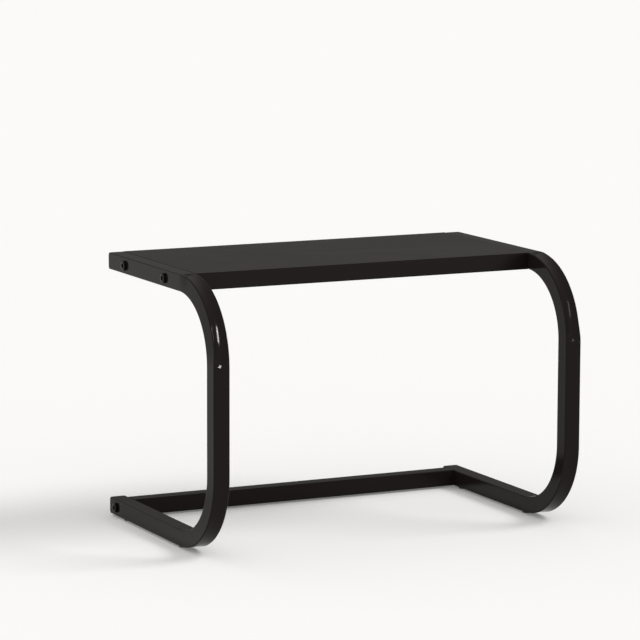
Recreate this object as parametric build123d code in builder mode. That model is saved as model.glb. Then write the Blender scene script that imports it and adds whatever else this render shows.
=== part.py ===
from build123d import *
import os

# A free-standing kitchen shelf for a countertop. Two bent tube side frames, open to the rear,
# carry a board between their upper arms, and a crossbar joins their lower arms at the rear.
# Millimetres. +X runs along the board, +Y to the rear and +Z up. The origin is on the counter,
# in the middle of the footprint.

# Whole shelf
frame_width = 560.0  # outside of one side frame to outside of the other
frame_depth = 362.0  # front of the legs to the rear of the end plugs
frame_height = 374.0  # underside of the lower arms to the top of the upper arms

# Square steel tube of the side frames and the crossbar
tube_side = 23.5
tube_wall = 1.2
tube_corner_radius = 1.5
least_corner_share = 0.25  # the inner corners keep at least this share of the wall as their radius
bend_radius = 101.75  # to the middle of the tube

# Board and its edge bands
board_thickness = 23.5
board_overhang = 3.5  # the front edge stands this far ahead of the arms' straight part
edge_band_thickness = 1.0
edge_band_rounding = 0.6

# Bolts with a domed head and a hexagon socket
bolt_diameter = 8.0
bolt_tip_chamfer = 0.8
bolt_head_diameter = 14.0
bolt_head_height = 3.6
bolt_head_rim = 3.0  # straight part under the dome
bolt_dome_radius = 9.0
bolt_flat_margin = 0.4  # flat ring round the socket's corners
socket_width = 6.0  # across flats
socket_depth = 3.0
bolt_hole_clearance = 0.4  # round the shank in a plain hole
thread_clearance = 0.1  # round the shank where it is screwed in
front_bolt_inset = 50.0  # behind the start of the bend
rear_bolt_inset = 60.5  # ahead of the rear of the shelf

# Threaded inserts in the board's ends
insert_length = 18.0
insert_wall = 1.6
insert_ridge_height = 0.6
insert_ridge_thickness = 1.2
insert_ridge_count = 4
insert_collar_width = 1.6
insert_collar_thickness = 1.5
insert_clearance = 0.1
insert_tip_room = 3.0  # left in the board past the bolt's tip

# Crossbar
crossbar_inset = 13.0  # rear of the shelf to the rear face of the crossbar
crossbar_nut_thickness = 12.0
crossbar_nut_clearance = 0.1

# Plugs in the rear ends of the arms
plug_flange = 4.0
plug_corner_radius = 4.0  # seen along the tube
plug_rounding_share = 0.9  # of the flange or of the plug's corner radius, whichever is less
plug_length = 12.0  # inside the tube
plug_wall = 1.6
plug_clearance = 0.5
plug_rib_thickness = 1.2
plug_rib_clearance = 0.1
plug_rib_shares = (0.3, 0.7)  # places of the ribs along the plug

# Feet under the lower arms
foot_diameter = 16.0
foot_thickness = 3.0
foot_rounding = 0.8
foot_stem_diameter = 6.0
foot_stem_clearance = 0.2
foot_barb_width = 0.8  # the barb stands out from the stem by this much
foot_barb_length = 3.0
foot_tip_share = 0.5  # of the stem's radius
front_foot_gap = 1.0  # start of the bend to the pad
rear_foot_gap = 3.0  # crossbar to the pad

# Holes run past their walls by this much
overrun = 1.0

# Sizes that follow
tube_inside = tube_side - 2 * tube_wall
tube_inside_radius = max(tube_corner_radius - tube_wall, tube_wall * least_corner_share)
inside_width = frame_width - 2 * tube_side
bolt_radius = bolt_diameter / 2
bolt_hole_radius = bolt_radius + bolt_hole_clearance
thread_radius = bolt_radius + thread_clearance
insert_radius = thread_radius + insert_wall
insert_ridge_radius = insert_radius + insert_ridge_height
insert_collar_radius = insert_radius + insert_collar_width
plug_rounding = plug_rounding_share * min(plug_flange, plug_corner_radius)
board_bolt_length = tube_side + insert_length
crossbar_bolt_length = tube_side + crossbar_nut_thickness

# Places that follow
tube_x = (frame_width - tube_side) / 2
front_y = -frame_depth / 2
rear_y = frame_depth / 2
leg_y = front_y + tube_side / 2
arm_end_y = rear_y - plug_flange
bend_y = leg_y + bend_radius
board_front_y = bend_y - board_overhang
crossbar_y = rear_y - crossbar_inset - tube_side / 2
lower_z = foot_thickness + tube_side / 2
upper_z = foot_thickness + frame_height - tube_side / 2
board_depth = rear_y - board_front_y
board_y = (rear_y + board_front_y) / 2
board_bottom_z = upper_z - board_thickness / 2
core_length = inside_width - 2 * edge_band_thickness
core_depth = board_depth - 2 * edge_band_thickness
foot_radius = foot_diameter / 2

sides = {"left": -1, "right": 1}
board_bolt_y = {"front": bend_y + front_bolt_inset, "rear": rear_y - rear_bolt_inset}
arm_z = {"upper": upper_z, "lower": lower_z}
foot_y = {
    "front": bend_y + front_foot_gap + foot_radius,
    "rear": crossbar_y - tube_side / 2 - rear_foot_gap - foot_radius,
}

os.makedirs("parts", exist_ok=True)


def finish(piece, name):
    """Labels a finished piece and writes its file."""
    piece.part.label = name
    export_step(piece.part, f"parts/{name}.step")
    print(f"{name}: {piece.part.volume:.0f} cubic mm")


def facing_out(x, side, y, z):
    """The plane at a place on a side of the shelf that looks away from its middle."""
    return Plane(origin=(side * x, y, z), x_dir=(0, 1, 0), z_dir=(side, 0, 0))


def along_axis(seat):
    """The plane through a seat's axis, with its X outwards from the axis and its Y along it."""
    return Plane(origin=seat.origin, x_dir=seat.x_dir, z_dir=seat.x_dir.cross(seat.z_dir))


def tube_section():
    """Draws the tube's square ring in the sketch that is open."""
    RectangleRounded(tube_side, tube_side, tube_corner_radius)
    RectangleRounded(tube_inside, tube_inside, tube_inside_radius, mode=Mode.SUBTRACT)


def side_frame(name, side):
    """A square tube bent to a C that opens to the rear, drilled for its bolts and feet."""
    with BuildPart() as frame:
        with BuildLine(Plane.YZ.offset(side * tube_x)) as route:
            FilletPolyline(
                (arm_end_y, upper_z),
                (leg_y, upper_z),
                (leg_y, lower_z),
                (arm_end_y, lower_z),
                radius=bend_radius,
            )
        with BuildSketch(Plane(origin=route.line @ 0, x_dir=(1, 0, 0), z_dir=route.line % 0)):
            tube_section()
        sweep(path=route.line)
        bolt_places = [(y, upper_z) for y in board_bolt_y.values()] + [(crossbar_y, lower_z)]
        with Locations(*[facing_out(tube_x, side, y, z) for y, z in bolt_places]):
            Hole(radius=bolt_hole_radius, depth=tube_side / 2 + overrun)
        with Locations(*[(side * tube_x, y, foot_thickness) for y in foot_y.values()]):
            Hole(radius=foot_stem_diameter / 2 + foot_stem_clearance, depth=tube_wall + overrun)
    finish(frame, name)


def end_plug(name, mouth):
    """A ribbed push-in plug. Its flange covers the end of the tube, and mouth faces out of it."""
    body_side = tube_inside - 2 * plug_clearance
    hollow_side = body_side - 2 * plug_wall
    rib_side = tube_inside - 2 * plug_rib_clearance
    with BuildPart() as plug:
        with BuildSketch(mouth):
            RectangleRounded(tube_side, tube_side, plug_corner_radius)
        extrude(amount=plug_flange)
        fillet(plug.faces().sort_by(Axis.Y)[-1].edges(), radius=plug_rounding)
        with BuildSketch(mouth):
            RectangleRounded(body_side, body_side, tube_inside_radius)
        extrude(amount=-plug_length)
        for share in plug_rib_shares:
            with BuildSketch(mouth.offset(-plug_length * share)):
                RectangleRounded(rib_side, rib_side, tube_inside_radius)
            extrude(amount=plug_rib_thickness / 2, both=True)
        with BuildSketch(mouth):
            RectangleRounded(hollow_side, hollow_side, tube_inside_radius)
        extrude(amount=-plug_length - overrun, mode=Mode.SUBTRACT)
    finish(plug, name)


def foot(name, seat):
    """A round rubber pad with a barbed stem. Seat is the plane on top of the pad, facing up."""
    stem_radius = foot_stem_diameter / 2
    barb_radius = stem_radius + foot_barb_width
    barb_start = tube_wall + foot_stem_clearance
    barb_end = barb_start + foot_barb_length
    with BuildPart() as pad:
        with BuildSketch(along_axis(seat)):
            with BuildLine():
                Polyline(
                    (0, -foot_thickness),
                    (foot_radius, -foot_thickness),
                    (foot_radius, 0),
                    (stem_radius, 0),
                    (stem_radius, barb_start),
                    (barb_radius, barb_start),
                    (stem_radius * foot_tip_share, barb_end),
                    (0, barb_end),
                    close=True,
                )
            make_face()
        revolve(axis=Axis(seat.origin, seat.z_dir))
        fillet(pad.faces().sort_by(Axis.Z)[0].edges(), radius=foot_rounding)
    finish(pad, name)


def bolt(name, seat, length):
    """A domed bolt. Seat is the plane under its head, facing out, and length is its shank's."""
    flat_radius = socket_width / 3**0.5 + bolt_flat_margin
    with BuildPart() as screw:
        with BuildSketch(along_axis(seat)):
            with BuildLine():
                Polyline(
                    (bolt_head_diameter / 2, bolt_head_rim),
                    (bolt_head_diameter / 2, 0),
                    (bolt_radius, 0),
                    (bolt_radius, bolt_tip_chamfer - length),
                    (bolt_radius - bolt_tip_chamfer, -length),
                    (0, -length),
                    (0, bolt_head_height),
                    (flat_radius, bolt_head_height),
                )
                RadiusArc(
                    (flat_radius, bolt_head_height),
                    (bolt_head_diameter / 2, bolt_head_rim),
                    radius=bolt_dome_radius,
                )
            make_face()
        revolve(axis=Axis(seat.origin, seat.z_dir))
        with BuildSketch(seat.offset(bolt_head_height)):
            RegularPolygon(radius=socket_width / 2, side_count=6, major_radius=False)
        extrude(amount=-socket_depth, mode=Mode.SUBTRACT)
    finish(screw, name)


def board_insert(name, mouth):
    """A ridged threaded sleeve in the board's end. Mouth is the plane of its collar, facing out."""
    ridge_pitch = (insert_length - insert_collar_thickness) / insert_ridge_count
    with BuildPart() as insert:
        with BuildSketch(mouth):
            Circle(insert_radius)
        extrude(amount=-insert_length)
        with BuildSketch(mouth):
            Circle(insert_collar_radius)
        extrude(amount=-insert_collar_thickness)
        for ridge in range(insert_ridge_count):
            with BuildSketch(mouth.offset(ridge * ridge_pitch - insert_length)):
                Circle(insert_ridge_radius)
            extrude(amount=insert_ridge_thickness)
        with Locations(mouth):
            Hole(radius=thread_radius, depth=insert_length + overrun)
    finish(insert, name)


def crossbar_nut(name, mouth):
    """A square threaded nut inside the crossbar's end. Mouth is the crossbar's end, facing out."""
    nut_side = tube_inside - 2 * crossbar_nut_clearance
    with BuildPart() as nut:
        with BuildSketch(mouth):
            RectangleRounded(nut_side, nut_side, tube_inside_radius)
            Circle(thread_radius, mode=Mode.SUBTRACT)
        extrude(amount=-crossbar_nut_thickness)
    finish(nut, name)


def insert_holes(mouths):
    """Bores the part that is open for the inserts and their collars, down from their mouths."""
    with Locations(*mouths):
        CounterBoreHole(
            radius=insert_ridge_radius + insert_clearance,
            counter_bore_radius=insert_collar_radius + insert_clearance,
            counter_bore_depth=insert_collar_thickness + insert_clearance,
            depth=insert_length + insert_tip_room,
        )


def end_edge_band(name, side, mouths):
    """The strip glued to one end of the board's core, between the front and rear strips."""
    core_end = facing_out(core_length / 2, side, board_y, upper_z)
    with BuildPart() as band:
        with BuildSketch(core_end):
            Rectangle(core_depth, board_thickness)
        extrude(amount=edge_band_thickness)
        insert_holes(mouths)
    finish(band, name)


def long_edge_band(name, facing):
    """The strip glued to the board's front edge, where facing is -1, or its rear edge, where it is 1."""
    core_edge = Plane(
        origin=(0, board_y + facing * core_depth / 2, upper_z),
        x_dir=(1, 0, 0),
        z_dir=(0, facing, 0),
    )
    with BuildPart() as band:
        with BuildSketch(core_edge):
            Rectangle(inside_width, board_thickness)
        extrude(amount=edge_band_thickness)
        long_edges = band.edges().filter_by(Axis.X)
        outer_edges = long_edges.group_by(Axis(core_edge.origin, core_edge.z_dir))[-1]
        fillet(outer_edges, radius=edge_band_rounding)
    finish(band, name)


# The board's core, with a stepped bore in each end for every insert
insert_mouths = {
    side: {place: facing_out(inside_width / 2, side, y, upper_z) for place, y in board_bolt_y.items()}
    for side in sides.values()
}
with BuildPart() as top_board:
    with BuildSketch(Plane(origin=(0, board_y, board_bottom_z))):
        Rectangle(core_length, core_depth)
    extrude(amount=board_thickness)
    for mouths in insert_mouths.values():
        insert_holes(mouths.values())
finish(top_board, "top_board")

long_edge_band("front_edge_band", -1)
long_edge_band("rear_edge_band", 1)

# The crossbar, from the inner face of one lower arm to that of the other
with BuildPart() as rear_crossbar:
    with BuildSketch(facing_out(inside_width / 2, sides["right"], crossbar_y, lower_z)):
        tube_section()
    extrude(amount=-inside_width)
finish(rear_crossbar, "rear_crossbar")

# What each side of the shelf has of its own
for hand, side in sides.items():
    side_frame(f"{hand}_side_frame", side)
    end_edge_band(f"{hand}_edge_band", side, insert_mouths[side].values())
    for place, mouth in insert_mouths[side].items():
        board_insert(f"{hand}_{place}_board_insert", mouth)
        bolt(f"{hand}_{place}_board_bolt", mouth.offset(tube_side), board_bolt_length)
    nut_mouth = facing_out(inside_width / 2, side, crossbar_y, lower_z)
    crossbar_nut(f"{hand}_crossbar_nut", nut_mouth)
    bolt(f"{hand}_crossbar_bolt", nut_mouth.offset(tube_side), crossbar_bolt_length)
    for place, z in arm_z.items():
        arm_end = Plane(origin=(side * tube_x, arm_end_y, z), x_dir=(1, 0, 0), z_dir=(0, 1, 0))
        end_plug(f"{hand}_{place}_end_plug", arm_end)
    for place, y in foot_y.items():
        foot(f"{hand}_{place}_foot", Plane(origin=(side * tube_x, y, foot_thickness)))
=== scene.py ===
# %% [markdown]
# # A countertop shelf in black steel and board
# This lesson dresses a shelf that stands on a kitchen counter. Two bent square tubes carry a
# board between their upper arms, and a crossbar joins their lower arms at the rear. The sizes come
# from a CAD model that is loaded as a fixed frame. Blender adds what a drawing does not hold: the
# wall of the tube that sinks where it was bent, the soft edges of the bolts, and every finish.

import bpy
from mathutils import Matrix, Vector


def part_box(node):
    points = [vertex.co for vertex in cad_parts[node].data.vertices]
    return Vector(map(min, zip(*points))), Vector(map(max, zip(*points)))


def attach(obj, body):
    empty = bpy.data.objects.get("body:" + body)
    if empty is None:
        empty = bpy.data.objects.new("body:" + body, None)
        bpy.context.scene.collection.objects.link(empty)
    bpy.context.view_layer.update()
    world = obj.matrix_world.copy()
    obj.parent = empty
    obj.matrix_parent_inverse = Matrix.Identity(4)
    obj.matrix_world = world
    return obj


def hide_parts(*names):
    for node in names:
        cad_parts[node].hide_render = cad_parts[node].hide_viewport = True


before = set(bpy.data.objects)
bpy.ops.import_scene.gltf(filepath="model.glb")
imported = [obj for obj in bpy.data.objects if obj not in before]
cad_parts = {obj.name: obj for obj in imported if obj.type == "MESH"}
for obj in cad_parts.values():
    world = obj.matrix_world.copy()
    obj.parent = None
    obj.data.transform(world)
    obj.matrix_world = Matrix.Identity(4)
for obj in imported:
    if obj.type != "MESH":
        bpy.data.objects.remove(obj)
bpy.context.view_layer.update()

# %% [markdown]
# ## The camera
# A product photo is often taken from far away with a long lens, so that parallel edges stay nearly
# parallel. The camera here looks from the front left and a little from above. Its direction is kept
# as three plain angles. A camera looks along its own -Z, so it is first tipped up to the horizon,
# then turned about the vertical, and rolled last about its own line of sight.

# %% Place the camera
import math
import bpy
from mathutils import Matrix, Vector

picture_side = 640
sensor_width = 36.0
focal_length_in_pixels = 3443.66
camera_yaw = math.radians(26.09)
camera_pitch = math.radians(8.67)
camera_roll = math.radians(0.20)
camera_distance = 4.807
camera_target = Vector((-0.0356, 0.0, 0.2897))

turn = Matrix.Rotation(-camera_yaw, 4, "Z")
tip = Matrix.Rotation(math.radians(90) - camera_pitch, 4, "X")
roll = Matrix.Rotation(camera_roll, 4, "Z")
camera_turn = turn @ tip @ roll
line_of_sight = camera_turn.to_3x3() @ Vector((0, 0, -1))

camera_data = bpy.data.cameras.new("product_camera")
camera_data.sensor_width = sensor_width
camera_data.lens = focal_length_in_pixels / picture_side * sensor_width
camera = bpy.data.objects.new("product_camera", camera_data)
camera.matrix_world = Matrix.Translation(camera_target - camera_distance * line_of_sight) @ camera_turn
bpy.context.scene.collection.objects.link(camera)
bpy.context.scene.camera = camera
print("camera stands at", [round(value, 3) for value in camera.matrix_world.translation])

# %% [markdown]
# ## Helpers for node trees
# A finish is a small network of nodes. Three helpers keep the cells short: one finds a socket by its
# name or number, one adds a node and sets its values, and one joins an output of a node to an input
# of another. A Mix node keeps a socket of each kind under one name, so only enabled ones count.

# %% Helpers to add and join nodes
def find_socket(sockets, name):
    """The socket with a number, or the enabled one with a name."""
    if isinstance(name, int):
        return sockets[name]
    return next(socket for socket in sockets if socket.name == name and socket.enabled)


def add_node(tree, kind, inputs=None, **settings):
    """Adds a node to a tree, with its settings and the values of its inputs."""
    node = tree.nodes.new(kind)
    for name, value in settings.items():
        setattr(node, name, value)
    for name, value in (inputs or {}).items():
        find_socket(node.inputs, name).default_value = value
    return node


def join(tree, source, output, target, socket):
    """Joins an output of one node to an input of another."""
    tree.links.new(find_socket(source.outputs, output), find_socket(target.inputs, socket))


bpy.context.scene.view_settings.view_transform = "Standard"
print("colours show as written, in the", bpy.context.scene.view_settings.view_transform, "view")

# %% [markdown]
# ## The side frames
# On the real shelf each side frame is one square steel tube, bent twice over a round former. A
# curve with a square bevel would give the route, but not the marks that bending leaves: the outer
# wall is stretched, so it sinks and gets narrower. So the tube is drawn as a maker would feed it,
# as a ring of edges that is pushed along the arms and spun round the bends. The sizes come from
# the CAD node that the tube stands for.

# %% Measure the left side frame
frame_low, frame_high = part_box("left_side_frame")
tube_side = frame_high.x - frame_low.x
tube_x = (frame_low.x + frame_high.x) / 2
tube_corner = 0.0015
tube_wall = 0.0012
bend_radius = 0.10175
outer_radius = bend_radius + tube_side / 2
bend_y = frame_low.y + outer_radius
upper_z = frame_high.z - tube_side / 2
lower_z = frame_low.z + tube_side / 2
upper_bend_z = frame_high.z - outer_radius
lower_bend_z = frame_low.z + outer_radius
print(f"tube {1000 * tube_side:.1f} mm square, bends begin {1000 * outer_radius:.1f} mm from the corners")

# %% Helpers to shape a mesh
import bmesh

merge_distance = 1e-6


def start_editing(piece):
    """Makes a piece the only selected object and opens it in edit mode."""
    bpy.ops.object.select_all(action="DESELECT")
    piece.select_set(True)
    bpy.context.view_layer.objects.active = piece
    bpy.ops.object.mode_set(mode="EDIT")


def select_edges(test):
    """Selects the edges of the open mesh that pass a test, and nothing else."""
    bpy.ops.mesh.select_mode(type="EDGE")
    bpy.ops.mesh.select_all(action="DESELECT")
    edges = bmesh.from_edit_mesh(bpy.context.edit_object.data).edges
    for edge in edges:
        edge.select_set(test(edge))
    bmesh.update_edit_mesh(bpy.context.edit_object.data)


def push(*step):
    """Extrudes what is selected along a step, and leaves the new edges selected."""
    bpy.ops.mesh.extrude_region_move(TRANSFORM_OT_translate={"value": step})


def stop_editing():
    """Merges doubles, turns the faces outwards and leaves edit mode."""
    bpy.ops.mesh.select_all(action="SELECT")
    bpy.ops.mesh.remove_doubles(threshold=merge_distance)
    bpy.ops.mesh.normals_make_consistent(inside=False)
    bpy.ops.object.mode_set(mode="OBJECT")


def apply_modifier(piece, kind, **settings):
    """Adds a modifier to a piece, sets it and applies it."""
    bpy.ops.object.select_all(action="DESELECT")
    piece.select_set(True)
    bpy.context.view_layer.objects.active = piece
    bpy.ops.object.modifier_add(type=kind)
    modifier = piece.modifiers[-1]
    for name, value in settings.items():
        setattr(modifier, name, value)
    bpy.ops.object.modifier_apply(modifier=modifier.name)


print("helpers ready")

# %% Draw the tube's section at the rear end of the upper arm
corner_segments = 5
flat_cuts = 17

bpy.ops.object.select_all(action="DESELECT")
bpy.ops.mesh.primitive_plane_add(size=tube_side, rotation=(math.radians(90), 0, 0),
                                 location=(tube_x, frame_high.y, upper_z))
left_tube = bpy.context.active_object
left_tube.name = "left_frame_tube"
bpy.ops.object.transform_apply(location=True, rotation=True, scale=True)

start_editing(left_tube)
bpy.ops.mesh.select_all(action="SELECT")
bpy.ops.mesh.bevel(offset=tube_corner, segments=corner_segments, affect="VERTICES")
select_edges(lambda edge: edge.calc_length() > tube_side / 2)
bpy.ops.mesh.subdivide(number_cuts=flat_cuts)
bpy.ops.mesh.select_all(action="SELECT")
bpy.ops.mesh.delete(type="ONLY_FACE")
print("edges round the tube:", len(bmesh.from_edit_mesh(left_tube.data).edges))

# %% Feed the section through the two bends
bend_parts = ((6, 24), (78, 40), (6, 24))  # degrees and steps
arm_length = frame_high.y - bend_y
leg_length = upper_bend_z - lower_bend_z


def bend(middle_z):
    """Spins the selected ring through a right angle, with finer steps at both ends of the bend."""
    for degrees, steps in bend_parts:
        bpy.ops.mesh.spin(steps=steps, angle=math.radians(degrees), axis=(-1, 0, 0),
                          center=(tube_x, bend_y, middle_z))


bpy.ops.mesh.select_all(action="SELECT")
push(0, -arm_length, 0)
bend(upper_bend_z)
push(0, 0, -leg_length)
bend(lower_bend_z)
push(0, arm_length, 0)
stop_editing()
print("tube drawn with", len(left_tube.data.polygons), "faces")

# %% [markdown]
# ## What bending does to the tube
# The sunk outer wall is what catches a thin line of light on the real bends. It could be painted
# as bump, but its ends show as dimples, so it is real shape. Each point of the outer wall gets a
# weight: full in the middle of the wall, curving to nothing at the two corners, and easing to
# nothing in a rounded tip at both ends of the bend. A Displace modifier pushes the points in. In
# the upper bends a second one draws in the side that faces away from the shelf, most of all at
# the outer wall, where the steel was stretched most. The lower bends came out nearly flat.

# %% Weigh the points of the bends
trough_depth = 0.0020
trough_end_length = 0.0066
trough_end_curve = 0.0025
lower_trough_share = 0.25
wall_tolerance = 0.0001
narrowing = 0.0018
narrow_end_length = 0.030
flat_half = tube_side / 2 - tube_corner
inner_radius = bend_radius - tube_side / 2


def ease(value):
    """A smooth step from 0 to 1."""
    value = min(max(value, 0.0), 1.0)
    return value * value * (3 - 2 * value)


def place_in_bend(point):
    """How far a point is from the middle of its bend, and along the outer wall from the nearer end."""
    ahead = bend_y - point.y
    beyond = max(point.z - upper_bend_z, lower_bend_z - point.z)
    if min(ahead, beyond) < 0:
        return 0.0, 0.0
    angle = math.atan2(beyond, ahead)
    return math.hypot(ahead, beyond), outer_radius * min(angle, math.radians(90) - angle)


def trough_weight(point):
    """How far a point of the outer wall sinks, from 0 to 1."""
    distance, along = place_in_bend(point)
    across = abs(point.x - tube_x) / flat_half
    if abs(distance - outer_radius) > wall_tolerance or across > 1:
        return 0.0
    share = lower_trough_share if point.z < lower_bend_z else 1.0
    return share * (1 - across**2) * ease((along - trough_end_curve * across**2) / trough_end_length)


def narrow_weight(point):
    """How far a point of the left tube is drawn to the right, from 0 to 1."""
    if point.z < upper_bend_z:
        return 0.0
    distance, along = place_in_bend(point)
    stretched = max((distance - inner_radius) / tube_side, 0.0)
    outwards = (frame_high.x - point.x) / tube_side
    return stretched * outwards * ease(along / narrow_end_length)


trough = left_tube.vertex_groups.new(name="trough")
narrowed = left_tube.vertex_groups.new(name="narrowed")
for point in left_tube.data.vertices:
    trough.add([point.index], trough_weight(point.co), "REPLACE")
    narrowed.add([point.index], narrow_weight(point.co), "REPLACE")
apply_modifier(left_tube, "DISPLACE", vertex_group="trough", strength=-trough_depth, mid_level=0)
apply_modifier(left_tube, "DISPLACE", vertex_group="narrowed", direction="X", strength=narrowing,
               mid_level=0)
apply_modifier(left_tube, "SOLIDIFY", thickness=tube_wall, offset=-1, use_even_offset=True)
print(f"walls sunk by up to {1000 * trough_depth} mm and drawn in by {1000 * narrowing} mm")

# %% Drill the tube for its bolts and feet
bolt_hole_radius = 0.0044
foot_hole_radius = 0.0032
hole_sides = 48


def middle_of(node):
    """The middle of a node's box."""
    low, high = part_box(node)
    return (low + high) / 2


def add_drill(radius, depth, place, turn):
    """Adds a cylinder to drill with, and returns it."""
    bpy.ops.mesh.primitive_cylinder_add(vertices=hole_sides, radius=radius, depth=depth,
                                        location=place, rotation=turn)
    return bpy.context.active_object


drills = []
for node in ("left_front_board_bolt", "left_rear_board_bolt", "left_crossbar_bolt"):
    middle = middle_of(node)
    drills.append(add_drill(bolt_hole_radius, 2 * tube_side, (tube_x, middle.y, middle.z),
                            (0, math.radians(90), 0)))
for node in ("left_front_foot", "left_rear_foot"):
    middle = middle_of(node)
    drills.append(add_drill(foot_hole_radius, tube_side / 2, (tube_x, middle.y, frame_low.z), (0, 0, 0)))
for drill in drills:
    apply_modifier(left_tube, "BOOLEAN", object=drill, operation="DIFFERENCE", solver="EXACT")
    bpy.data.objects.remove(drill)
print("holes drilled:", len(drills))

# %% Mirror the left tube to the right and smooth both
smooth_angle = math.radians(40)


def copy_piece(piece, name):
    """Copies a piece with its own mesh, and leaves the copy selected."""
    bpy.ops.object.select_all(action="DESELECT")
    piece.select_set(True)
    bpy.context.view_layer.objects.active = piece
    bpy.ops.object.duplicate(linked=False)
    copy = bpy.context.active_object
    copy.name = name
    return copy


def place_piece(piece, slot, node):
    """Lets a piece stand for a node of the frame, and gives it the finish of a slot."""
    piece.data.materials.clear()
    piece.data.materials.append(bpy.data.materials[slot])
    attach(piece, "root")
    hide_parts(node)


bpy.ops.object.shade_smooth_by_angle(angle=smooth_angle)
right_tube = copy_piece(left_tube, "right_frame_tube")
start_editing(right_tube)
bpy.ops.mesh.select_all(action="SELECT")
bpy.ops.transform.resize(value=(-1, 1, 1), center_override=(0, 0, 0))
stop_editing()
for tube, node in ((left_tube, "left_side_frame"), (right_tube, "right_side_frame")):
    apply_modifier(tube, "WEIGHTED_NORMAL", keep_sharp=True)
    place_piece(tube, "frame_paint", node)
print("triangles in a tube:", sum(len(face.vertices) - 2 for face in left_tube.data.polygons))

# %% [markdown]
# ## The bolts
# Six bolts with a low dome and a hexagon socket hold the shelf together. A revolved profile is
# exact but hard-edged, and real heads are rolled or pressed, with soft edges that glint. So the
# bolt is built as by hand, from one circle: its rim and dome are pushed up ring by ring, its shank
# is pushed down, the socket is cut with a six-sided bar, and a Bevel modifier softens every edge.

# %% Shape one bolt, standing on its seat
bolt_low, bolt_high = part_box("left_front_board_bolt")
head_radius = (bolt_high.z - bolt_low.z) / 2
head_height = frame_low.x - bolt_low.x
board_bolt_length = bolt_high.x - frame_low.x
rim_height = 0.003
dome_radius = 0.009
dome_rings = 8
shank_radius = 0.004
tip_chamfer = 0.0008
socket_width = 0.006
socket_depth = 0.003
socket_margin = 0.0004
soft_edge = 0.00022
soft_edge_segments = 3
sharpest_angle = math.radians(35)
ring_sides = 64

socket_reach = socket_width / math.sqrt(3)
flat_radius = socket_reach + socket_margin
rim = Vector((head_radius, rim_height))
crown = Vector((flat_radius, head_height))
chord = crown - rim
outward = Vector((chord.y, -chord.x)).normalized()
dome_middle = (rim + crown) / 2 - outward * math.sqrt(dome_radius**2 - (chord.length / 2) ** 2)
rim_angle = math.atan2(rim.y - dome_middle.y, rim.x - dome_middle.x)
crown_angle = math.atan2(crown.y - dome_middle.y, crown.x - dome_middle.x)
print(f"dome from {math.degrees(rim_angle):.0f} to {math.degrees(crown_angle):.0f} degrees")


def push_ring(rise, ratio):
    """Extrudes the selected ring up by a rise and scales the new ring about the bolt's axis."""
    push(0, 0, rise)
    bpy.ops.transform.resize(value=(ratio, ratio, 1), center_override=(0, 0, 0))


bpy.ops.object.select_all(action="DESELECT")
bpy.ops.mesh.primitive_circle_add(vertices=ring_sides, radius=head_radius, fill_type="NOTHING")
bolt = bpy.context.active_object
start_editing(bolt)
bpy.ops.mesh.select_all(action="SELECT")
push_ring(rim_height, 1)
ring = rim
for step in range(1, dome_rings + 1):
    angle = rim_angle + (crown_angle - rim_angle) * step / dome_rings
    next_ring = dome_middle + dome_radius * Vector((math.cos(angle), math.sin(angle)))
    push_ring(next_ring.y - ring.y, next_ring.x / ring.x)
    ring = next_ring
bpy.ops.mesh.edge_face_add()

select_edges(lambda edge: edge.is_boundary)
push_ring(0, shank_radius / head_radius)
push_ring(tip_chamfer - board_bolt_length, 1)
push_ring(-tip_chamfer, (shank_radius - tip_chamfer) / shank_radius)
bpy.ops.mesh.edge_face_add()
stop_editing()
print("bolt has", len(bolt.data.polygons), "faces before its socket is cut")

# %% Cut the socket and soften the edges
bpy.ops.object.select_all(action="DESELECT")
bpy.ops.mesh.primitive_cylinder_add(vertices=6, radius=socket_reach, depth=2 * socket_depth,
                                    location=(0, 0, head_height))
bar = bpy.context.active_object
apply_modifier(bolt, "BOOLEAN", object=bar, operation="DIFFERENCE", solver="EXACT")
bpy.data.objects.remove(bar)
apply_modifier(bolt, "BEVEL", width=soft_edge, segments=soft_edge_segments, limit_method="ANGLE",
               angle_limit=sharpest_angle)
bpy.ops.object.shade_smooth_by_angle(angle=smooth_angle)

own_place = bolt.data.attributes.new("own_place", "FLOAT_VECTOR", "POINT")
for point in bolt.data.vertices:
    own_place.data[point.index].vector = point.co
print("bolt has", len(bolt.data.polygons), "faces with its socket")

# %% Set a copy in each bolt hole
for hand, side in (("left", -1), ("right", 1)):
    for place in ("front_board", "rear_board", "crossbar"):
        node = f"{hand}_{place}_bolt"
        low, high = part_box(node)
        length = high.x - low.x - head_height
        copy = copy_piece(bolt, f"{hand}_{place}_screw")
        for point in copy.data.vertices:
            if point.co.z < -board_bolt_length / 2:
                point.co.z += board_bolt_length - length
        copy.rotation_euler = (0, side * math.radians(90), 0)
        copy.location = (side * -frame_low.x, (low.y + high.y) / 2, (low.z + high.z) / 2)
        bpy.ops.object.transform_apply(location=True, rotation=True, scale=True)
        place_piece(copy, "bolt_steel", node)
        print(copy.name, f"has a shank of {1000 * length:.0f} mm")
bpy.data.objects.remove(bolt)

# %% [markdown]
# ## Effects shared by the finishes
# Paint, plastic and steel differ in colour and gloss, but age in the same ways: every surface has a
# fine grain, its edges are rubbed, dust settles on top and hands leave smears. Each effect is a
# node group, built once and placed in each finish with its own values. A group puts out only
# a number that changes over the surface, and the finish decides what to do with it.

# %% Helper to start a node group
def start_group(name, inputs, output):
    """Starts a node group with number inputs and one number output, and returns it with its two ends."""
    group = bpy.data.node_groups.new(name, "ShaderNodeTree")
    for socket, value in inputs.items():
        item = group.interface.new_socket(socket, in_out="INPUT", socket_type="NodeSocketFloat")
        item.default_value = value
    group.interface.new_socket(output, in_out="OUTPUT", socket_type="NodeSocketFloat")
    return group, add_node(group, "NodeGroupInput"), add_node(group, "NodeGroupOutput")


print("groups can be started")

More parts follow.
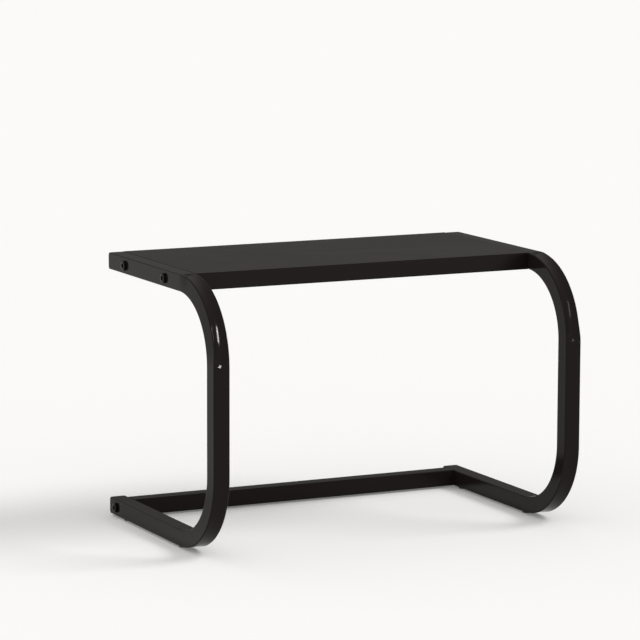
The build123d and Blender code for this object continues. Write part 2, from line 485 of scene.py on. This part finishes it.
# %% Fine grain: two noises, the second finer and weaker
grain, grain_in, grain_out = start_group("fine_grain", {"Scale": 900.0}, "Height")
place = add_node(grain, "ShaderNodeTexCoord")
coarse = add_node(grain, "ShaderNodeTexNoise", {"Detail": 1.5, "Roughness": 0.5})
finer = add_node(grain, "ShaderNodeMath", {1: 3.7}, operation="MULTIPLY")
fine = add_node(grain, "ShaderNodeTexNoise", {"Detail": 2.0, "Roughness": 0.6})
mixed = add_node(grain, "ShaderNodeMix", {"Factor": 0.3})
join(grain, place, "Object", coarse, "Vector")
join(grain, place, "Object", fine, "Vector")
join(grain, grain_in, "Scale", coarse, "Scale")
join(grain, grain_in, "Scale", finer, 0)
join(grain, finer, "Value", fine, "Scale")
join(grain, coarse, "Fac", mixed, "A")
join(grain, fine, "Fac", mixed, "B")
join(grain, mixed, "Result", grain_out, "Height")
print("fine grain built")

# %% Edge rub: where a rounded-off normal leaves the true one, broken up by a noise
rub, rub_in, rub_out = start_group("edge_rub", {"Radius": 0.001, "Break Scale": 220.0}, "Mask")
rounded = add_node(rub, "ShaderNodeBevel", samples=6)
surface = add_node(rub, "ShaderNodeNewGeometry")
alike = add_node(rub, "ShaderNodeVectorMath", operation="DOT_PRODUCT")
edge = add_node(rub, "ShaderNodeMapRange", {"From Min": 0.985, "From Max": 0.86})
place = add_node(rub, "ShaderNodeTexCoord")
patches = add_node(rub, "ShaderNodeTexNoise", {"Detail": 3.0, "Roughness": 0.6})
worn = add_node(rub, "ShaderNodeMapRange", {"From Min": 0.35, "From Max": 0.7})
both = add_node(rub, "ShaderNodeMath", operation="MULTIPLY")
join(rub, rub_in, "Radius", rounded, "Radius")
join(rub, rounded, "Normal", alike, 0)
join(rub, surface, "Normal", alike, 1)
join(rub, alike, "Value", edge, "Value")
join(rub, place, "Object", patches, "Vector")
join(rub, rub_in, "Break Scale", patches, "Scale")
join(rub, patches, "Fac", worn, "Value")
join(rub, edge, "Result", both, 0)
join(rub, worn, "Result", both, 1)
join(rub, both, "Value", rub_out, "Mask")
print("edge rub built")

# %% Settled dust: faces that look up, in soft patches and fine specks
dust, dust_in, dust_out = start_group("settled_dust", {"Scale": 30.0}, "Mask")
surface = add_node(dust, "ShaderNodeNewGeometry")
parts = add_node(dust, "ShaderNodeSeparateXYZ")
upward = add_node(dust, "ShaderNodeMapRange", {"From Min": 0.5, "From Max": 1.0})
place = add_node(dust, "ShaderNodeTexCoord")
patches = add_node(dust, "ShaderNodeTexNoise", {"Detail": 4.0, "Roughness": 0.65})
specks = add_node(dust, "ShaderNodeTexNoise", {"Scale": 1600.0, "Detail": 1.0})
speckled = add_node(dust, "ShaderNodeMapRange",
                    {"From Min": 0.5, "From Max": 0.75, "To Min": 0.35, "To Max": 1.0})
lying = add_node(dust, "ShaderNodeMath", operation="MULTIPLY")
film = add_node(dust, "ShaderNodeMath", operation="MULTIPLY")
join(dust, surface, "Normal", parts, "Vector")
join(dust, parts, "Z", upward, "Value")
join(dust, place, "Object", patches, "Vector")
join(dust, place, "Object", specks, "Vector")
join(dust, dust_in, "Scale", patches, "Scale")
join(dust, specks, "Fac", speckled, "Value")
join(dust, upward, "Result", lying, 0)
join(dust, patches, "Fac", lying, 1)
join(dust, lying, "Value", film, 0)
join(dust, speckled, "Result", film, 1)
join(dust, film, "Value", dust_out, "Mask")
print("settled dust built")

# %% Smears: a stretched, warped noise, as a cloth or a hand leaves
smears, smears_in, smears_out = start_group("smears", {"Scale": 16.0}, "Mask")
place = add_node(smears, "ShaderNodeTexCoord")
stretch = add_node(smears, "ShaderNodeMapping", {"Rotation": (0.3, 0.4, 0.6), "Scale": (0.45, 1.0, 0.8)})
cloud = add_node(smears, "ShaderNodeTexNoise", {"Detail": 5.0, "Roughness": 0.6, "Distortion": 0.8})
spread = add_node(smears, "ShaderNodeMapRange", {"From Min": 0.3, "From Max": 0.7})
join(smears, place, "Object", stretch, "Vector")
join(smears, stretch, "Vector", cloud, "Vector")
join(smears, smears_in, "Scale", cloud, "Scale")
join(smears, cloud, "Fac", spread, "Value")
join(smears, spread, "Result", smears_out, "Mask")
print("smears built")

# %% Helpers to build a finish
def start_finish(slot, **constants):
    """Empties the finish of a slot down to one shader with plain values. Returns its tree and shader."""
    finish = bpy.data.materials[slot]
    finish.use_nodes = True
    tree = finish.node_tree
    tree.nodes.clear()
    shader = add_node(tree, "ShaderNodeBsdfPrincipled", constants)
    ending = add_node(tree, "ShaderNodeOutputMaterial")
    join(tree, shader, "BSDF", ending, "Surface")
    return tree, shader


def use_group(tree, group, **values):
    """Places a node group in a finish with its own values."""
    node = add_node(tree, "ShaderNodeGroup", node_tree=group)
    for name, value in values.items():
        node.inputs[name.replace("_", " ")].default_value = value
    return node


def scaled(tree, node, output, low, high):
    """Maps a mask from 0 and 1 to a low and a high value."""
    levels = add_node(tree, "ShaderNodeMapRange", {"To Min": low, "To Max": high})
    join(tree, node, output, levels, "Value")
    return levels


def layer_colour(tree, under, over, mask, output, most):
    """Lays a colour over another where a mask is high. Under is a colour or the layer below it."""
    level = scaled(tree, mask, output, 0.0, most)
    layer = add_node(tree, "ShaderNodeMix", {"B": over}, data_type="RGBA")
    if isinstance(under, tuple):
        find_socket(layer.inputs, "A").default_value = under
    else:
        join(tree, under, "Result", layer, "A")
    join(tree, level, "Result", layer, "Factor")
    return layer


def raise_surface(tree, shader, node, output, height):
    """Turns a mask into bumps of a height in metres."""
    bumps = add_node(tree, "ShaderNodeBump", {"Strength": 1.0, "Distance": height})
    join(tree, node, output, bumps, "Height")
    join(tree, bumps, "Normal", shader, "Normal")


def add_up(tree, *nodes):
    """Adds the results of nodes."""
    total = nodes[0]
    for node in nodes[1:]:
        plus = add_node(tree, "ShaderNodeMath", operation="ADD")
        join(tree, total, 0, plus, 0)
        join(tree, node, 0, plus, 1)
        total = plus
    return total


grime_colour = (0.055, 0.05, 0.046, 1)
print("finishes can be built")

# %% [markdown]
# ## Powder coat on the steel
# The tubes are coated with black powder that is melted on. It flows to a semi-gloss skin with a
# faint orange peel about a millimetre wide. A plain glossy black would look like plastic, so the
# peel is a very low bump, the gloss varies a little with smears, and the coat is a shade lighter
# where it is thinnest, along the edges.

# %% Powder coat
coat_colour = (0.0130, 0.0098, 0.0096, 1)
thin_coat_colour = (0.024, 0.019, 0.0185, 1)

tree, shader = start_finish("frame_paint", IOR=1.14)
peel = use_group(tree, grain, Scale=750)
worn_edges = use_group(tree, rub, Radius=0.0012)
lying_dust = use_group(tree, dust, Scale=34)
wiped = use_group(tree, smears, Scale=13)
coat = layer_colour(tree, coat_colour, thin_coat_colour, worn_edges, "Mask", 0.5)
coat = layer_colour(tree, coat, grime_colour, lying_dust, "Mask", 0.12)
join(tree, coat, "Result", shader, "Base Color")
gloss = add_up(tree, scaled(tree, wiped, "Mask", 0.09, 0.12), scaled(tree, lying_dust, "Mask", 0.0, 0.02))
join(tree, gloss, 0, shader, "Roughness")
raise_surface(tree, shader, peel, "Height", 0.000003)
print("powder coat on", "frame_paint")

# %% [markdown]
# ## Melamine on the board
# The board is faced with black melamine paper, pressed against a plate that leaves a fine pearl
# texture. It is a little less glossy than the coat. The face is large and seen at a low angle, so
# what shows is its gloss: it is uneven where it was wiped, with a thin film of dust.

# %% Melamine
face_colour = (0.0120, 0.0095, 0.0090, 1)
pale_face_colour = (0.019, 0.0160, 0.0150, 1)

tree, shader = start_finish("board_melamine", IOR=1.22)
pearl = use_group(tree, grain, Scale=1500)
lying_dust = use_group(tree, dust, Scale=22)
wiped = use_group(tree, smears, Scale=7)
face = layer_colour(tree, face_colour, pale_face_colour, wiped, "Mask", 0.5)
face = layer_colour(tree, face, grime_colour, lying_dust, "Mask", 0.14)
join(tree, face, "Result", shader, "Base Color")
gloss = add_up(tree, scaled(tree, wiped, "Mask", 0.24, 0.37), scaled(tree, lying_dust, "Mask", 0.0, 0.15))
join(tree, gloss, 0, shader, "Roughness")
raise_surface(tree, shader, pearl, "Height", 0.00001)
print("melamine on", "board_melamine")

# %% [markdown]
# ## Edge bands
# A thin plastic strip is glued to each edge of the board and scraped flush. It is extruded, so it
# has faint lines along its length and hardly any grain. The lines depend on height alone, which
# makes them run along all four strips.

# %% Edge bands
band_colour = (0.0076, 0.0050, 0.0046, 1)
scraped_colour = (0.018, 0.0145, 0.0135, 1)

tree, shader = start_finish("edge_band", IOR=1.22)
place = add_node(tree, "ShaderNodeTexCoord")
along = add_node(tree, "ShaderNodeMapping", {"Scale": (6, 6, 2600)})
lines = add_node(tree, "ShaderNodeTexNoise", {"Scale": 1.0, "Detail": 2.0, "Roughness": 0.6})
worn_edges = use_group(tree, rub, Radius=0.0007)
wiped = use_group(tree, smears, Scale=18)
join(tree, place, "Object", along, "Vector")
join(tree, along, "Vector", lines, "Vector")
band = layer_colour(tree, band_colour, scraped_colour, worn_edges, "Mask", 0.6)
join(tree, band, "Result", shader, "Base Color")
gloss = add_up(tree, scaled(tree, wiped, "Mask", 0.22, 0.28), scaled(tree, lines, "Fac", -0.03, 0.05))
join(tree, gloss, 0, shader, "Roughness")
raise_surface(tree, shader, lines, "Fac", 0.000006)
print("edge bands on", "edge_band")

# %% [markdown]
# ## Plugs and feet
# The plugs in the tube ends are moulded in black plastic, whose mould was spark-eroded to a fine
# matt texture. The feet are soft black rubber, duller still, and greyed by the dust they pick up.
# Both are the same kind of finish with other values, so one function builds them.

# %% Moulded plastic and rubber
rubbed_colour = (0.03, 0.027, 0.025, 1)
gloss_spread = 0.08


def moulded_finish(slot, colour, grain_scale, grain_height, roughness, dustiness):
    """A matt moulded finish with a grain, rubbed edges and dust."""
    tree, shader = start_finish(slot, IOR=1.35)
    texture = use_group(tree, grain, Scale=grain_scale)
    worn_edges = use_group(tree, rub, Radius=0.0008)
    lying_dust = use_group(tree, dust, Scale=60)
    body = layer_colour(tree, colour, rubbed_colour, worn_edges, "Mask", 0.4)
    body = layer_colour(tree, body, grime_colour, lying_dust, "Mask", dustiness)
    join(tree, body, "Result", shader, "Base Color")
    gloss = scaled(tree, texture, "Height", roughness - gloss_spread, roughness + gloss_spread)
    join(tree, gloss, 0, shader, "Roughness")
    raise_surface(tree, shader, texture, "Height", grain_height)
    print("moulded finish on", slot)


moulded_finish("plug_plastic", (0.0095, 0.008, 0.0078, 1), grain_scale=2600, grain_height=0.00002,
               roughness=0.38, dustiness=0.2)
moulded_finish("foot_rubber", (0.012, 0.011, 0.0105, 1), grain_scale=1800, grain_height=0.00003,
               roughness=0.7, dustiness=0.4)

# %% [markdown]
# ## Steel of the bolts and threads
# The bolts are blackened, not painted: a thin oxide over turned steel. The tool leaves fine rings
# about the bolt's axis, and bare metal starts to show on the rim and round the socket. The rings
# need each bolt's own axis, so they read the place that every point of the bolt was given before
# it was turned and set. The threaded parts inside are bright with zinc.

# %% Blackened bolts
oxide_colour = (0.0045, 0.0036, 0.0034, 1)
bare_steel_colour = (0.16, 0.155, 0.15, 1)

tree, shader = start_finish("bolt_steel", IOR=1.18)
own = add_node(tree, "ShaderNodeAttribute", attribute_name="own_place")
flatten = add_node(tree, "ShaderNodeVectorMath", {1: (1.0, 1.0, 0.0)}, operation="MULTIPLY")
from_axis = add_node(tree, "ShaderNodeVectorMath", operation="LENGTH")
rings = add_node(tree, "ShaderNodeTexNoise", {"Scale": 5200.0, "Detail": 2.0}, noise_dimensions="1D")
worn_edges = use_group(tree, rub, Radius=0.0006, Break_Scale=700)
join(tree, own, "Vector", flatten, 0)
join(tree, flatten, "Vector", from_axis, 0)
join(tree, from_axis, "Value", rings, "W")
oxide = layer_colour(tree, oxide_colour, bare_steel_colour, worn_edges, "Mask", 0.25)
join(tree, oxide, "Result", shader, "Base Color")
bare = scaled(tree, worn_edges, "Mask", 0.0, 0.3)
join(tree, bare, "Result", shader, "Metallic")
gloss = scaled(tree, rings, "Fac", 0.22, 0.36)
join(tree, gloss, 0, shader, "Roughness")
raise_surface(tree, shader, rings, "Fac", 0.000008)
print("blackened steel on", "bolt_steel")

# %% Zinc plate
zinc_colour = (0.58, 0.58, 0.56, 1)
dull_zinc_colour = (0.40, 0.39, 0.36, 1)

tree, shader = start_finish("plated_steel", Metallic=1.0)
wiped = use_group(tree, smears, Scale=120)
texture = use_group(tree, grain, Scale=2200)
plate = layer_colour(tree, zinc_colour, dull_zinc_colour, wiped, "Mask", 0.7)
join(tree, plate, "Result", shader, "Base Color")
gloss = scaled(tree, wiped, "Mask", 0.28, 0.45)
join(tree, gloss, 0, shader, "Roughness")
raise_surface(tree, shader, texture, "Height", 0.00001)
print("zinc on", "plated_steel")

# %% [markdown]
# ## The floor
# The shelf stands on a plain pale floor, a disc so wide that the camera sees nothing else. It lies
# a hair below the feet. It is lit like everything else and keeps the shelf's shadow, and a little
# light of its own, for what looks at it and not for what it lights, lifts it to white.

# %% Lay the floor
floor_radius = 60.0
floor_sides = 96
floor_drop = 0.0002
floor_roughness = 0.9
floor_colour = (0.86, 0.86, 0.855, 1)
floor_lift = (0.15, 0.15, 0.15, 1)

bpy.ops.object.select_all(action="DESELECT")
bpy.ops.mesh.primitive_circle_add(vertices=floor_sides, radius=floor_radius, fill_type="NGON",
                                  location=(0, 0, -floor_drop))
floor = bpy.context.active_object
floor.name = "studio_floor"

floor_finish = bpy.data.materials.new("studio_floor")
floor_finish.use_nodes = True
tree = floor_finish.node_tree
shader = tree.nodes["Principled BSDF"]
shader.inputs["Base Color"].default_value = floor_colour
shader.inputs["Roughness"].default_value = floor_roughness
shader.inputs["Specular IOR Level"].default_value = 0.0
shader.inputs["Emission Strength"].default_value = 1.0
rays = add_node(tree, "ShaderNodeLightPath")
sharp_rays = add_node(tree, "ShaderNodeMath", operation="ADD")
seen = add_node(tree, "ShaderNodeMath", operation="ADD", use_clamp=True)
lift = add_node(tree, "ShaderNodeMix", {"A": (0, 0, 0, 1), "B": floor_lift}, data_type="RGBA")
join(tree, rays, "Is Glossy Ray", sharp_rays, 0)
join(tree, rays, "Is Transmission Ray", sharp_rays, 1)
join(tree, rays, "Is Camera Ray", seen, 0)
join(tree, sharp_rays, "Value", seen, 1)
join(tree, seen, "Value", lift, "Factor")
join(tree, lift, "Result", shader, "Emission Color")
floor.data.materials.append(floor_finish)
print("floor laid,", 2 * floor_radius, "m across")

# %% [markdown]
# ## The light
# Black paint shows its surroundings more than its own colour, so the room matters. It has a soft
# ceiling, pale walls at the front left, and dark ones to the right and behind. The faces that look
# left mirror the pale side at a low angle and turn grey, and the front faces stay deep black. A very
# wide key lamp lights the floor and gives the soft shadow, but is kept out of the reflections. The
# highlights come from a tall softbox for each tube. It lights that tube alone, so that the bright
# line in one bend and the faint one in the other can be set apart.

# %% Set the surroundings
ceiling_light = 0.70
pale_wall = 0.9
dark_wall = 0.13
pale_side = (-0.8, -0.6, 0.0)
room_colour = (1.0, 0.985, 0.97, 1)

world = bpy.data.worlds.new("soft_room")
bpy.context.scene.world = world
world.use_nodes = True
room = world.node_tree
background = room.nodes["Background"]
direction = add_node(room, "ShaderNodeTexCoord")
parts = add_node(room, "ShaderNodeSeparateXYZ")
facing = add_node(room, "ShaderNodeVectorMath", {1: pale_side}, operation="DOT_PRODUCT")
walls = add_node(room, "ShaderNodeMapRange",
                 {"From Min": -0.5, "From Max": -0.2, "To Min": dark_wall, "To Max": pale_wall},
                 interpolation_type="SMOOTHSTEP")
height = add_node(room, "ShaderNodeMapRange",
                  {"From Min": 0.05, "From Max": 1.0}, interpolation_type="SMOOTHSTEP")
blend = add_node(room, "ShaderNodeMix", {"B": ceiling_light})
join(room, direction, "Generated", parts, "Vector")
join(room, direction, "Generated", facing, 0)
join(room, facing, "Value", walls, "Value")
join(room, parts, "Z", height, "Value")
join(room, height, "Result", blend, "Factor")
join(room, walls, "Result", blend, "A")
join(room, blend, "Result", background, "Strength")
background.inputs["Color"].default_value = room_colour
print("walls run from", dark_wall, "to", pale_wall, "under a ceiling of", ceiling_light)

# %% Hang the key lamp
def towards(azimuth, height):
    """The direction of a lamp, from an angle to the right of the front and an angle above the floor."""
    azimuth, height = math.radians(azimuth), math.radians(height)
    return Vector((math.cos(height) * math.sin(azimuth), -math.cos(height) * math.cos(azimuth),
                   math.sin(height)))


def hang_lamp(name, kind, direction, **settings):
    """Adds a lamp that shines from a direction on the shelf."""
    data = bpy.data.lights.new(name, kind)
    for setting, value in settings.items():
        setattr(data, setting, value)
    lamp = bpy.data.objects.new(name, data)
    lamp.rotation_euler = direction.to_track_quat("Z", "Y").to_euler()
    bpy.context.scene.collection.objects.link(lamp)
    print(name, "shines along", [round(-value, 2) for value in direction])
    return lamp


key_side = towards(azimuth=65, height=48)
key_lamp = hang_lamp("key_lamp", "SUN", key_side, energy=1.15, angle=math.radians(25))
key_lamp.visible_glossy = False

# %% Hang a softbox for the highlights on each tube
softbox_distance = 12.0
softbox_width = 1.9
softbox_height = 4.2
softbox_side = towards(azimuth=38, height=33)


def hang_softbox(tube, power):
    """Adds a tall softbox that only shows as a highlight, and only on one tube."""
    softbox = hang_lamp(tube.name + "_softbox", "AREA", softbox_side, energy=power,
                        shape="RECTANGLE", size=softbox_width, size_y=softbox_height)
    softbox.location = softbox_distance * softbox_side
    softbox.visible_diffuse = False
    lit_pieces = bpy.data.collections.new(softbox.name)
    lit_pieces.objects.link(tube)
    softbox.light_linking.receiver_collection = lit_pieces


hang_softbox(left_tube, power=3400)
hang_softbox(right_tube, power=290)
